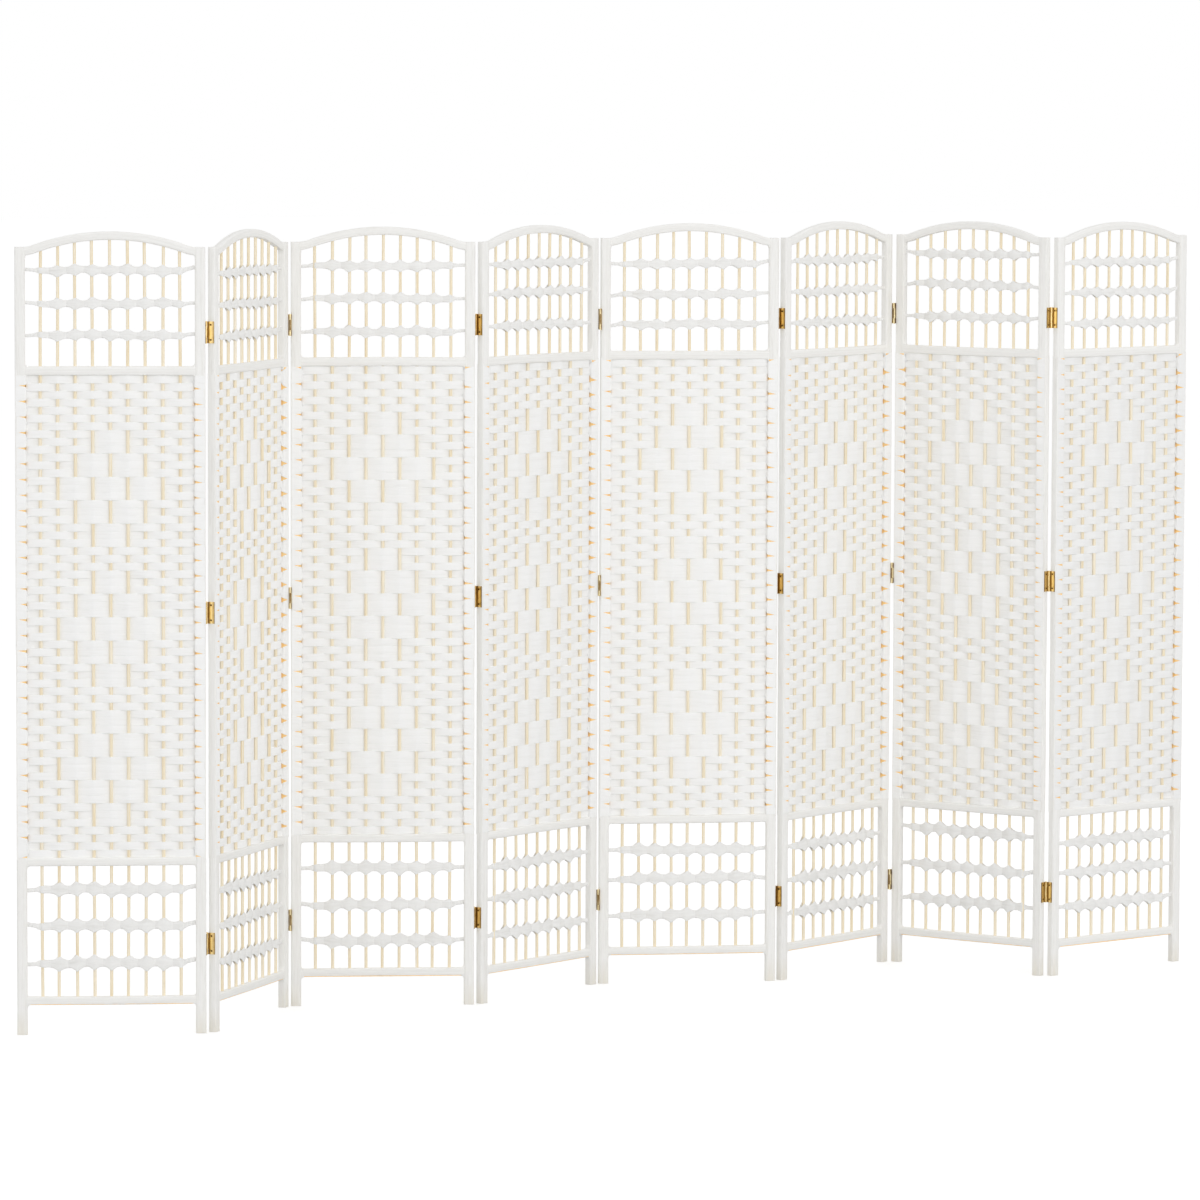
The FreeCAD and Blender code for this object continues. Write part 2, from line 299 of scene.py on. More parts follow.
def brassPaintedSheenMaterial(name, look, panelPlace, side):
    # painted highlights down the middle of a leaf and on the barrel, painted shade at its edges, in bands
    # across the panel's depth
    material, tree, shader = newMaterial(name)
    place = addNode(tree, "ShaderNodeTexCoord").outputs["Object"]
    brushed = addNode(tree, "ShaderNodeMapping", {"Vector": place, "Scale": look["brushing"]}).outputs[0]
    lines = noiseValue(tree, brushed, 1.0, look["brushDetail"])
    # noise that makes the edges of the painted bands wander
    stainAndWander = noiseValue(tree, place, look["bandWanderScale"], look["bandWanderDetail"])
    back = panelPlace.inverted()
    feeds = {"Vector": place, "Location": back.translation, "Rotation": back.to_euler()}
    local = addNode(tree, "ShaderNodeMapping", feeds).outputs[0]
    depth = addNode(tree, "ShaderNodeSeparateXYZ", {0: local}).outputs["Y"]
    outward = mathNode(tree, "MULTIPLY", depth, side)
    feeds = {"Value": outward, "From Min": look["reach"][0], "From Max": look["reach"][1]}
    across = addNode(tree, "ShaderNodeMapRange", feeds).outputs[0]
    wander = mathNode(tree, "MULTIPLY_ADD", stainAndWander, look["wander"], -look["wander"] / 2)
    stops = [(stop, look[tone]) for stop, tone in look["bands"]]
    colour = colourRamp(tree, mathNode(tree, "ADD", across, wander), stops)
    tree.links.new(colour, shader.inputs["Base Color"])
    feeds = {"Value": lines, "To Min": look["roughness"][0], "To Max": look["roughness"][1]}
    rough = addNode(tree, "ShaderNodeMapRange", feeds).outputs[0]
    tree.links.new(rough, shader.inputs["Roughness"])
    addBump(tree, shader, lines, look["scratchStrength"], look["scratchDepth"])
    shader.inputs["Metallic"].default_value = 1.0
    return material


def screwMaterial(name, look):
    material, _, shader = newMaterial(name)
    shader.inputs["Base Color"].default_value = (*look["tone"], 1)
    shader.inputs["Metallic"].default_value = 1.0
    shader.inputs["Roughness"].default_value = look["roughness"]
    return material


ribbonPaper = paperMaterial("ribbonPaper", paperLook)
latticePaper = paperMaterial("latticePaper", latticeLook)
wrapPaper = paperMaterial("wrapPaper", wrapLook)
rodBamboo = grainMaterial("rodBamboo", bambooLook)
stileWood = grainMaterial("stileWood", woodLook)
screwMetal = screwMaterial("screwMetal", screwLook)
print("finishes made:", len(bpy.data.materials))


# node trees that follow a path
def newTree(name, floats, vectors=()):
    tree = bpy.data.node_groups.new(name, "GeometryNodeTree")
    kinds = [("Geometry", "Geometry")] + [(label, "Float") for label in floats]
    kinds += [(label, "Vector") for label in vectors] + [("Finish", "Material")]
    for label, kind in kinds:
        tree.interface.new_socket(label, in_out="INPUT", socket_type="NodeSocket" + kind)
    tree.interface.new_socket("Geometry", in_out="OUTPUT", socket_type="NodeSocketGeometry")
    return tree, tree.nodes.new("NodeGroupInput").outputs, tree.nodes.new("NodeGroupOutput").inputs


def namedValue(tree, name):
    feeds = {"Name": name}
    return addNode(tree, "GeometryNodeInputNamedAttribute", feeds, data_type="FLOAT").outputs["Attribute"]


def storeValue(tree, geometry, name, value):
    feeds = {"Geometry": geometry, "Name": name, "Value": value}
    kind = {"data_type": "FLOAT", "domain": "POINT"}
    return addNode(tree, "GeometryNodeStoreNamedAttribute", feeds, **kind).outputs[0]


def position(tree):
    return addNode(tree, "GeometryNodeInputPosition").outputs[0]


def positionAxes(tree):
    return addNode(tree, "ShaderNodeSeparateXYZ", {0: position(tree)}).outputs


def combined(tree, axes):
    return addNode(tree, "ShaderNodeCombineXYZ", axes).outputs[0]


def moved(tree, geometry, offset):
    return addNode(tree, "GeometryNodeSetPosition", {"Geometry": geometry, "Offset": offset}).outputs[0]


def swept(tree, curve, section):
    feeds = {"Curve": curve, "Profile Curve": section, "Fill Caps": True}
    return addNode(tree, "GeometryNodeCurveToMesh", feeds).outputs[0]


def shiver(tree, scale, seed, amount):
    feeds = {"Vector": position(tree), "W": seed, "Scale": scale, "Detail": 1.0}
    noise = addNode(tree, "ShaderNodeTexNoise", feeds, noise_dimensions="4D").outputs["Color"]
    feeds = {0: noise, 1: (0.5, 0.5, 0.5)}
    centred = addNode(tree, "ShaderNodeVectorMath", feeds, operation="SUBTRACT").outputs[0]
    feeds = {0: centred, "Scale": amount}
    return addNode(tree, "ShaderNodeVectorMath", feeds, operation="SCALE").outputs[0]


def pathStart(tree, given, normalMode, eased=True):
    curve = addNode(tree, "GeometryNodeMeshToCurve", {"Mesh": given["Geometry"]}).outputs[0]
    if eased:
        feeds = {"Curve": curve}
        curve = addNode(tree, "GeometryNodeCurveSplineType", feeds, spline_type="CATMULL_ROM").outputs[0]
        feeds = {"Curve": curve, "Length": given["Step"]}
        curve = addNode(tree, "GeometryNodeResampleCurve", feeds, mode="LENGTH").outputs[0]
    curve = addNode(tree, "GeometryNodeSetCurveNormal", {"Curve": curve}, mode=normalMode).outputs[0]
    length = addNode(tree, "GeometryNodeSplineParameter").outputs["Length"]
    return storeValue(tree, curve, "along", length)


def treeEnd(tree, mesh, given, result):
    mesh = addNode(tree, "GeometryNodeRealizeInstances", {"Geometry": mesh}).outputs[0]
    feeds = {"Geometry": mesh, "Material": given["Finish"]}
    mesh = addNode(tree, "GeometryNodeSetMaterial", feeds).outputs[0]
    tree.links.new(mesh, result["Geometry"])


def pathEnd(tree, mesh, given, result):
    mesh = addNode(tree, "GeometryNodeSetShadeSmooth", {"Geometry": mesh}).outputs[0]
    treeEnd(tree, mesh, given, result)


sections = {
    "ribbonSides": 12,
    "rodSides": 10,
    "edgeSteps": 3,
    "ribbonShiver": 45.0,  # noise steps per metre
    "barShiver": 70.0,
    "rodShiver": 9.0,
}


def ribbonTree(name, eased):
    # flat strip that stands upright; "rise" stretches its height about "courseZ"
    floats = ["Half Thickness", "Half Height", "Squareness", "Wobble", "Seed"]
    tree, given, result = newTree(name, floats + ["Step"] if eased else floats)
    curve = pathStart(tree, given, "Z_UP", eased)
    curve = moved(tree, curve, shiver(tree, sections["ribbonShiver"], given["Seed"], given["Wobble"]))
    feeds = {"Resolution": sections["ribbonSides"], "Radius": 1.0}
    section = addNode(tree, "GeometryNodeCurvePrimitiveCircle", feeds).outputs[0]
    axes = positionAxes(tree)
    section = storeValue(tree, section, "across", axes["Y"])
    squared = []
    for axis, half in (("X", "Half Thickness"), ("Y", "Half Height")):
        full = mathNode(tree, "POWER", mathNode(tree, "ABSOLUTE", axes[axis]), given["Squareness"])
        signed = mathNode(tree, "MULTIPLY", full, mathNode(tree, "SIGN", axes[axis]))
        squared.append(mathNode(tree, "MULTIPLY", signed, given[half]))
    feeds = {"Geometry": section, "Position": combined(tree, dict(enumerate(squared)))}
    section = addNode(tree, "GeometryNodeSetPosition", feeds).outputs[0]
    mesh = swept(tree, curve, section)
    above = mathNode(tree, "SUBTRACT", positionAxes(tree)["Z"], namedValue(tree, "courseZ"))
    stretch = mathNode(tree, "SUBTRACT", namedValue(tree, "rise"), 1.0)
    mesh = moved(tree, mesh, combined(tree, {2: mathNode(tree, "MULTIPLY", above, stretch)}))
    pathEnd(tree, mesh, given, result)
    return tree


def barTree():
    # wrapped bar of rounded rectangular section
    floats = ["Section X", "Section Y", "Edge Round", "Step", "Crinkle", "Seed"]
    tree, given, result = newTree("wrappedBar", floats)
    curve = pathStart(tree, given, "MINIMUM_TWIST")
    feeds = {"Width": given["Section X"], "Height": given["Section Y"]}
    section = addNode(tree, "GeometryNodeCurvePrimitiveQuadrilateral", feeds).outputs[0]
    feeds = {"Curve": section, "Radius": given["Edge Round"], "Count": sections["edgeSteps"]}
    feeds["Limit Radius"] = True
    section = addNode(tree, "GeometryNodeFilletCurve", feeds, mode="POLY").outputs[0]
    around = addNode(tree, "GeometryNodeSplineParameter").outputs["Length"]
    section = storeValue(tree, section, "across", around)
    mesh = swept(tree, curve, section)
    mesh = moved(tree, mesh, shiver(tree, sections["barShiver"], given["Seed"], given["Crinkle"]))
    pathEnd(tree, mesh, given, result)
    return tree


def rodTree():
    # natural round rod, a little bent
    tree, given, result = newTree("bambooRod", ["Radius", "Step", "Bend", "Seed"])
    curve = pathStart(tree, given, "MINIMUM_TWIST")
    curve = moved(tree, curve, shiver(tree, sections["rodShiver"], given["Seed"], given["Bend"]))
    feeds = {"Resolution": sections["rodSides"], "Radius": given["Radius"]}
    section = addNode(tree, "GeometryNodeCurvePrimitiveCircle", feeds).outputs[0]
    pathEnd(tree, swept(tree, curve, section), given, result)
    return tree


trees = {
    "woven": ribbonTree("wovenRun", False),
    "twined": ribbonTree("twinedRun", True),
    "bar": barTree(),
    "rod": rodTree(),
}
print("node trees made:", len(trees))


# pieces grown on paths
usualValues = {"rise": 1.0, "courseZ": 0.0, "tone": 0.5, "paintedShading": 1.0}


def pathMesh(name, runs):
    # a run has points in its panel's own frame, and values for the whole run or for each point
    points, edges = [], []
    values = {key: [] for key in usualValues}
    for run in runs:
        start, count = len(points), len(run["points"])
        points += run["points"]
        edges += [(start + i, start + i + 1) for i in range(count - 1)]
        for key, usual in usualValues.items():
            value = run.get(key, usual)
            values[key] += value if isinstance(value, list) else [value] * count
    mesh = bpy.data.meshes.new(name)
    mesh.from_pydata(points, edges, [])
    for key, numbers in values.items():
        mesh.attributes.new(key, "FLOAT", "POINT").data.foreach_set("value", numbers)
    return mesh


def growPiece(label, panel, kind, runs, inputs):
    name = f"{label}_{panel + 1}"
    base = pathMesh(name + "Path", runs)
    maker = bpy.data.objects.new(name + "Maker", base)
    bpy.context.scene.collection.objects.link(maker)
    modifier = maker.modifiers.new("grow", "NODES")
    modifier.node_group = trees[kind]
    items = trees[kind].interface.items_tree
    sockets = {item.name: item.identifier for item in items if item.in_out == "INPUT"}
    for socketName, value in inputs.items():
        modifier[sockets[socketName]] = value
    graph = bpy.context.evaluated_depsgraph_get()
    grown = maker.evaluated_get(graph)
    mesh = bpy.data.meshes.new_from_object(grown, preserve_all_data_layers=True, depsgraph=graph)
    maker.modifiers.clear()
    bpy.data.objects.remove(maker)
    bpy.data.meshes.remove(base)
    mesh.name = name
    mesh.transform(places[panel])
    piece = bpy.data.objects.new(name, mesh)
    bpy.context.scene.collection.objects.link(piece)
    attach(piece, f"panel_{panel + 1}")
    return piece


def stripRun(z, spots, tone, paintedShading=usualValues["paintedShading"]):
    # spots along a strip: x, y, height above z, and how far the strip is stretched there
    return {
        "points": [(x, y, z + dz) for x, y, dz, stretch in spots],
        "courseZ": [z + dz for x, y, dz, stretch in spots],
        "rise": [stretch for x, y, dz, stretch in spots],
        "tone": tone,
        "paintedShading": paintedShading,
    }


# woven field
weave = {
    "courses": 62,
    "topCourses": [7, 6, 6, 6, 6, 6, 6, 6],  # plain courses above the diamonds, per panel
    "paintedShading": [1.0, 1.01, 1.0, 0.99, 1.0, 0.99, 1.01, 0.955],  # painted light and shade per panel: lighter on the second and seventh, darker on the fourth and sixth, and darkest on the last, for the shade that falls there
    "blockRods": [1, 2, 3, 2, 1],  # rods each side of the middle one, per block
    "blockCourses": 3,
    "between": 3,
    "diamonds": 3,
    "halfThickness": 0.65 * mm,
    "squareness": 0.2,
    "spare": 0.3 * mm,  # each strip overlaps its neighbours by this
    "rise": 1.01,
    "riseJitter": 0.02,
    "courseJitter": 0.35 * mm,
    "heightJitter": 0.2 * mm,
    "flat": 2.6 * mm,  # a strip lies level this far each side of a rod, and runs straight to the next
    "crossing": (0.26, 0.74),  # points of that run, as shares of the rod pitch
    # at a stile: millimetres inward of its inner edge, depth, height against one course
    "turn": [
        (-19.8, 8.0, 1.99), (-16, 8.0, 1.98), (-11, 8.0, 1.89), (-5, 8.0, 1.77), (-0.4, 8.1, 1.67),
        (0.6, 7.7, 1.64), (1.05, 6.4, 1.59), (1.1, 3.2, 1.49), (1.2, 1.2, 1.40), (1.9, 0.1, 1.22),
        (3.4, -0.7, 1.06), (7, -1.6, 1.01), (13, -2.7, 1.01), (18, -3.4, 1.01),
    ],
    "turnGrowth": (-0.04, 0.03),
    "turnLean": 0.5,  # 0 spreads a strip evenly, 1 all to one side
    # growth and lean of the two courses next to a rail, which spread as far as the rail
    "railAhead": [(0.25, -1.0), (1.25, 0.6)],
    "railBehind": [(0.75, 1.0), (1.75, -0.14)],
    "wobble": 0.5 * mm,
    "seed": 100,
}
fieldLow, fieldTop = screen["lowerRail"][1], screen["upperRail"][0]
coursePitch = (fieldTop - fieldLow) / weave["courses"]


def ribbonInFront(course, rod, panel):
    # plain weave, with three-course floats inside the diamonds; stiles count as rods 0 and 10
    top = weave["topCourses"][panel]
    diamond = weave["blockCourses"] * len(weave["blockRods"])
    span = diamond + weave["between"]
    inside = course - top
    if 0 <= inside < span * weave["diamonds"] - weave["between"] and inside % span < diamond:
        block = (inside % span) // weave["blockCourses"]
        away = abs(rod - middleRod)
        if away <= weave["blockRods"][block]:
            return (away + block) % 2 == 0
    return (course + rod + top) % 2 == 1


def stileTurn(course, stile, inward, side, rng):
    # a strip hugs the stile and spreads to two courses there, three quarters of it to one side
    way = -side * inward
    above, below = course, weave["courses"] - 1 - course
    ahead, behind = (above, below) if way > 0 else (below, above)
    growth, lean = 1 + rng.uniform(*weave["turnGrowth"]), weave["turnLean"]
    if ahead < len(weave["railAhead"]):
        growth, lean = weave["railAhead"][ahead]
    elif behind < len(weave["railBehind"]):
        growth, lean = weave["railBehind"][behind]
    spots = []
    for along, depth, height in weave["turn"]:
        wide = 1 + (height - 1) * growth
        dz = lean * way * (wide - 1) * coursePitch / 2
        spots.append((stile + inward * along * mm, side * depth * mm, dz, wide))
    return spots


def courseRun(course, panel, rng):
    z = fieldTop - (course + 0.5) * coursePitch + jitter(rng, weave["courseJitter"])
    near = screen["rodRadius"] + weave["halfThickness"] + screen["rodClearance"]
    leftSide = -1 if ribbonInFront(course, 0, panel) else 1
    rightSide = -1 if ribbonInFront(course, screen["rodCount"] + 1, panel) else 1
    spots = stileTurn(course, innerLeft, 1, leftSide, rng)
    before = None
    for rod, x in enumerate(rodPlaces, 1):
        y = -near if ribbonInFront(course, rod, panel) else near
        full = weave["rise"] + jitter(rng, weave["riseJitter"])
        dz = jitter(rng, weave["heightJitter"])
        if before is not None:
            for part in weave["crossing"]:
                way = (part * rodPitch - weave["flat"]) / (rodPitch - 2 * weave["flat"])
                spots.append((x - rodPitch * (1 - part), before + (y - before) * way, dz, full))
        for step in (-1, 1):
            spots.append((x + step * weave["flat"], y, dz, full))
        before = y
    spots += reversed(stileTurn(course, innerRight, -1, rightSide, rng))
    return stripRun(z, spots, rng.random(), weave["paintedShading"][panel])


for panel in range(panelCount):
    rng = random.Random(weave["seed"] + panel)
    runs = [courseRun(course, panel, rng) for course in range(weave["courses"])]
    inputs = {
        "Half Thickness": weave["halfThickness"],
        "Half Height": coursePitch / 2 + weave["spare"],
        "Squareness": weave["squareness"],
        "Wobble": weave["wobble"],
        "Seed": float(panel),
        "Finish": ribbonPaper,
    }
    piece = growPiece("weave", panel, "woven", runs, inputs)
    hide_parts(f"panel_{panel + 1}_woven_field")
print("woven fields grown:", len(piece.data.polygons), "faces in the last")


# twined bands of the open lattice
bands = {
    "heights": [0.152, 0.2315, 0.311, 1.4855, 1.554, 1.6225],
    "sizes": [1.16, 1.16, 1.16, 0.92, 0.92, 0.92],  # the lower bands are the taller ones
    # millimetres that each hand-twined band sits off its height, per panel
    "drift": [
        (0, 0, -2, -3, -5, -4), (-7, -8, -12, -9, -12, -12),
        (-9, -10, -8, -12, -9, -6), (-4, -6, -12, -4, 0, -5),
        (1, 4, -11, -9, -11, -12), (-3, -7, -12, -9, -9, -8),
        (0, -1, 3, -1, 3, 4), (1, -1, -12, -12, -12, -12),
    ],
    "halfHeight": 15 * mm,
    "halfThickness": 0.7 * mm,
    "squareness": 0.3,
    "waist": 0.44,  # height midway between two rods, against the height on a rod
    "waistDrop": 0.2,  # a waist is at least this much less than the mean of the heights on its two rods
    "arcPower": 1.45,
    "arcSteps": [-1.0, -0.84, -0.6, -0.25, 0.25, 0.6, 0.84],  # from -1 on a rod towards 1 on the next
    "tipSpread": (-0.10, 0.06),
    "endRise": (0.46, 0.66),  # height at the first and the last rod
    "sway": 0.5 * mm,  # the waist sits high in one gap and low in the next
    "swayJitter": 0.8 * mm,
    "liftJitter": 1.8 * mm,
    "split": 0.4 * mm,  # the two ribbons cross a little apart
    "endHeights": [(-5 * mm, 4 * mm), (-3 * mm, 8 * mm)],  # where they meet the left and the right stile
    # twisted end: share of the way from stile to rod, swing in millimetres, height
    "cordTurns": [
        (-0.08, 0.9, 0.22), (0.16, -0.9, 0.22), (0.40, 0.9, 0.22), (0.64, -0.9, 0.22), (0.84, 0.2, 0.38),
    ],
    "cordTilt": 0.8,
    "step": 1.9 * mm,
    "wobble": 1.2 * mm,
    "seed": 300,
    "noiseSeed": 20.0,
}


def bandShape(rng):
    # how one band wanders; its two ribbons share it
    phase = rng.choice((-1, 1))
    gaps = range(len(rodPlaces) - 1)
    return {
        "lifts": [jitter(rng, bands["liftJitter"]) for _ in rodPlaces],
        "shifts": [phase * (-1) ** i * bands["sway"] + jitter(rng, bands["swayJitter"]) for i in gaps],
        "ends": [rng.uniform(*reach) for reach in bands["endHeights"]],
    }


def cordSpots(stile, rod, lift, end, strand):
    # thin twisted end from the stile to the outer rod
    spots = []
    for part, swing, height in bands["cordTurns"]:
        swing *= (1 if strand else -1) * mm
        dz = end * (1 - part) + lift * part - swing * bands["cordTilt"]
        spots.append((stile + (rod - stile) * part, swing, dz, height))
    return spots


def twineRun(z, size, strand, shape, rng):
    near = screen["rodRadius"] + bands["halfThickness"] + screen["rodClearance"]
    last = len(rodPlaces) - 1
    lifts, shifts, ends = shape["lifts"], shape["shifts"], shape["ends"]
    tips = [1.0 + rng.uniform(*bands["tipSpread"]) for _ in rodPlaces[1:-1]]
    tips = [bands["endRise"][0], *tips, bands["endRise"][1]]
    spots = cordSpots(innerLeft, rodPlaces[0], lifts[0], ends[0], strand)
    for i in range(last):
        side = -1 if (i + strand) % 2 == 0 else 1
        waist = min(bands["waist"], (tips[i] + tips[i + 1]) / 2 - bands["waistDrop"])
        for t in bands["arcSteps"]:
            part = (t + 1) / 2
            tip = tips[i] if t < 0 else tips[i + 1]
            arc = waist + (tip - waist) * abs(t) ** bands["arcPower"]
            level = lifts[i] * (1 - part) + lifts[i + 1] * part
            dz = level + (1 - t * t) * (shifts[i] + side * bands["split"])
            y = side * near * math.cos(math.pi * part)
            spots.append((rodPlaces[i] + rodPitch * part, y, dz, arc))
    side = -1 if (last + strand) % 2 == 0 else 1
    spots.append((rodPlaces[last], side * near, lifts[last], tips[last]))
    spots += reversed(cordSpots(innerRight, rodPlaces[last], lifts[last], ends[1], strand))
    sized = [(x, y, dz, stretch * size) for x, y, dz, stretch in spots]
    return stripRun(z, sized, rng.random())


for panel in range(panelCount):
    rng = random.Random(bands["seed"] + panel)
    runs = []
    for z, size, drift in zip(bands["heights"], bands["sizes"], bands["drift"][panel]):
        shape = bandShape(rng)
        runs += [twineRun(z + drift * mm, size, strand, shape, rng) for strand in (0, 1)]
    inputs = {
        "Half Thickness": bands["halfThickness"],
        "Half Height": bands["halfHeight"],
        "Squareness": bands["squareness"],
        "Step": bands["step"],
        "Wobble": bands["wobble"],
        "Seed": bands["noiseSeed"] + panel,
        "Finish": latticePaper,
    }
    piece = growPiece("lattice", panel, "twined", runs, inputs)
    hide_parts(f"panel_{panel + 1}_twined_bands")
print("twined bands grown:", len(piece.data.polygons), "faces in the last")


# upright rods
rods = {
    "radius": 3.4 * mm,
    "lean": 2.2 * mm,
    # shares of the lean at the foot and of the lean at the head, up the rod
    "leanShares": [(1, 0), (0.4, 0), (0, 0), (0, 0), (0, 0), (0, 0), (0, 0), (0, 0.3), (0, 1)],
    "seat": 8 * mm,
    "step": 18 * mm,
    "bend": 1.1 * mm,
    "seed": 500,
    "noiseSeed": 40.0,
}


def rodRun(x, rng):
    low = screen["bottomRail"][1] - rods["seat"]
    high = archZ(x, archRadius - screen["archHeight"]) + rods["seat"]
    foot, head = jitter(rng, rods["lean"]), jitter(rng, rods["lean"])
    steps = len(rods["leanShares"]) - 1
    points = []
    for i, (footShare, headShare) in enumerate(rods["leanShares"]):
        points.append((x + foot * footShare + head * headShare, 0.0, low + (high - low) * i / steps))
    return {"points": points, "tone": rng.random()}


for panel in range(panelCount):
    rng = random.Random(rods["seed"] + panel)
    runs = [rodRun(x, rng) for x in rodPlaces]
    inputs = {
        "Radius": rods["radius"],
        "Step": rods["step"],
        "Bend": rods["bend"],
        "Seed": rods["noiseSeed"] + panel,
        "Finish": rodBamboo,
    }
    piece = growPiece("rods", panel, "rod", runs, inputs)
    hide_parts(f"panel_{panel + 1}_rods")
print("rods grown")


# bars of the frame: what they share
frameBars = {"step": 7 * mm, "crinkle": 0.7 * mm, "uprightSteps": 4, "seed": 700}
stileMiddles = (screen["stileFace"] / 2, screen["width"] - screen["stileFace"] / 2)


def barInputs(bar, panel, finish):
    return {
        "Section X": bar["section"][0],
        "Section Y": bar["section"][1],
        "Edge Round": bar["edgeRound"],
        "Step": bar.get("step", frameBars["step"]),
        "Crinkle": bar.get("crinkle", frameBars["crinkle"]),
        "Seed": bar["noiseSeed"] + panel,
        "Finish": finish,
    }


def uprightRun(x, low, high, tone):
    steps = frameBars["uprightSteps"]
    return {"points": [(x, 0.0, low + (high - low) * i / steps) for i in range(steps + 1)], "tone": tone}


# bare wood of the stiles behind the woven strips
stileCore = {
    "section": (21.8 * mm, 16.4 * mm),
    "edgeRound": 1.5 * mm,
    "crinkle": 0.1 * mm,
    "endGap": 0.5 * mm,
    "noiseSeed": 60.0,
}


def growStileCore(panel, rng):
    low, high = fieldLow + stileCore["endGap"], fieldTop - stileCore["endGap"]
    runs = [uprightRun(x, low, high, rng.random()) for x in stileMiddles]
    growPiece("stileCore", panel, "bar", runs, barInputs(stileCore, panel, stileWood))


# paper round the stiles above and below the woven field
stileWrap = {
    "section": (screen["stileFace"], screen["stileDepth"]),
    "edgeRound": 3.2 * mm,
    "reach": 1 * mm,  # into the woven field
    "endGap": 0.3 * mm,
    "noiseSeed": 80.0,
}


def growStileWrap(panel, rng):
    runs = []
    for x in stileMiddles:
        runs.append(uprightRun(x, stileWrap["endGap"], fieldLow + stileWrap["reach"], rng.random()))
        top = screen["stileHeight"] - stileWrap["endGap"]
        runs.append(uprightRun(x, fieldTop - stileWrap["reach"], top, rng.random()))
    inputs = barInputs(stileWrap, panel, wrapPaper)
    piece = growPiece("stileWrap", panel, "bar", runs, inputs)
    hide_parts(f"panel_{panel + 1}_stiles")


# paper strip down the outer edge of a stile, over the ends of the woven strips
edgeStrip = {
    "section": (4.6 * mm, 17.2 * mm),
    "edgeRound": 1.2 * mm,
    "crinkle": 0.3 * mm,
    "lap": 4 * mm,
    "noiseSeed": 90.0,
}


def growEdgeStrip(panel, rng):
    half = edgeStrip["section"][0] / 2
    low, high = fieldLow - edgeStrip["lap"], fieldTop + edgeStrip["lap"]
    runs = [uprightRun(x, low, high, rng.random()) for x in (half, screen["width"] - half)]
    growPiece("edgeStrip", panel, "bar", runs, barInputs(edgeStrip, panel, wrapPaper))


# wrapped cross rails and arch
railWrap = {
    "section": (screen["railDepth"], 17.8 * mm),
    "edgeRound": 3.0 * mm,
    "lap": 2 * mm,  # into a stile
    "sag": 1.2 * mm,
    "archLap": 3 * mm,
    "archSteps": 24,
    "noiseSeed": 110.0,
}


def railRun(rail, tone, rng):
    z = (rail[0] + rail[1]) / 2
    sag = jitter(rng, railWrap["sag"])
    left, right = innerLeft - railWrap["lap"], innerRight + railWrap["lap"]
    return {"points": [(left, 0.0, z), (middle, 0.0, z + sag), (right, 0.0, z)], "tone": tone}


def archRun(tone):
    left, wide = innerLeft - railWrap["archLap"], innerRight - innerLeft + 2 * railWrap["archLap"]
    points = []
    for i in range(railWrap["archSteps"] + 1):
        x = left + wide * i / railWrap["archSteps"]
        points.append((x, 0.0, archTop(x) - screen["archHeight"] / 2))
    return {"points": points, "tone": tone}


def growRails(panel, rng):
    runs = [railRun(screen[rail], rng.random(), rng) for rail in ("bottomRail", "lowerRail")]
    runs.append(archRun(rng.random()))
    inputs = barInputs(railWrap, panel, wrapPaper)
    piece = growPiece("rails", panel, "bar", runs, inputs)
    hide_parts(f"panel_{panel + 1}_rails")
    low, high = screen["upperRail"]
    inputs["Section Y"] = high - low
    runs = [railRun(screen["upperRail"], rng.random(), rng)]
    growPiece("upperRail", panel, "bar", runs, inputs)


# paper bunched into the corners between stiles and rails
cornerWrap = {
    "section": (13.4 * mm, 4.0 * mm),
    "edgeRound": 1.6 * mm,
    "crinkle": 0.4 * mm,
    "step": 2.5 * mm,
    "inset": 1.4 * mm,
    "archInset": 1.5 * mm,
    "reach": (5 * mm, 9 * mm),
    "bends": [(-0.12, 1.35), (0.03, 0.75), (0.27, 0.27), (0.75, 0.03), (1.35, -0.12)],  # in reaches
    "noiseSeed": 130.0,
}
archCorner = archTop(innerLeft) - screen["archHeight"] + cornerWrap["archInset"]
cornerSpots = [  # height, and 1 above a rail or -1 below it
    (screen["bottomRail"][0], -1), (screen["bottomRail"][1], 1), (screen["lowerRail"][0], -1),
    (screen["upperRail"][1], 1), (archCorner, -1), (screen["lowerRail"][1], 1), (screen["upperRail"][0], -1),
]


def cornerRun(x, z, along, up, reach, tone):
    points = []
    for across, tall in cornerWrap["bends"]:
        cornerX = x + along * reach * across - along * cornerWrap["inset"]
        points.append((cornerX, 0.0, z + up * (reach * tall - cornerWrap["inset"])))
    return {"points": points, "tone": tone}


def growCornerWraps(panel, rng):
    runs = []
    for z, up in cornerSpots:
        for x, along in ((innerLeft, 1), (innerRight, -1)):
            runs.append(cornerRun(x, z, along, up, rng.uniform(*cornerWrap["reach"]), rng.random()))
    growPiece("cornerWraps", panel, "bar", runs, barInputs(cornerWrap, panel, wrapPaper))


# bare line along the lower edges of the bottom rail, where the wrap closes
railSeam = {
    "section": (1.2 * mm, 1.6 * mm),
    "edgeRound": 0.4 * mm,
    "crinkle": 0.3 * mm,
    "rise": 1.0 * mm,
    "sag": 0.3 * mm,
    "endGap": 6 * mm,
    "depth": 6.6 * mm,
    "noiseSeed": 150.0,
}


def growRailSeam(panel):
    z = screen["bottomRail"][0] + railSeam["rise"]
    left, right = innerLeft + railSeam["endGap"], innerRight - railSeam["endGap"]
    runs = []
    for y in (-railSeam["depth"], railSeam["depth"]):
        runs.append({"points": [(left, y, z), (middle, y, z - railSeam["sag"]), (right, y, z)]})
    growPiece("railSeam", panel, "bar", runs, barInputs(railSeam, panel, stileWood))


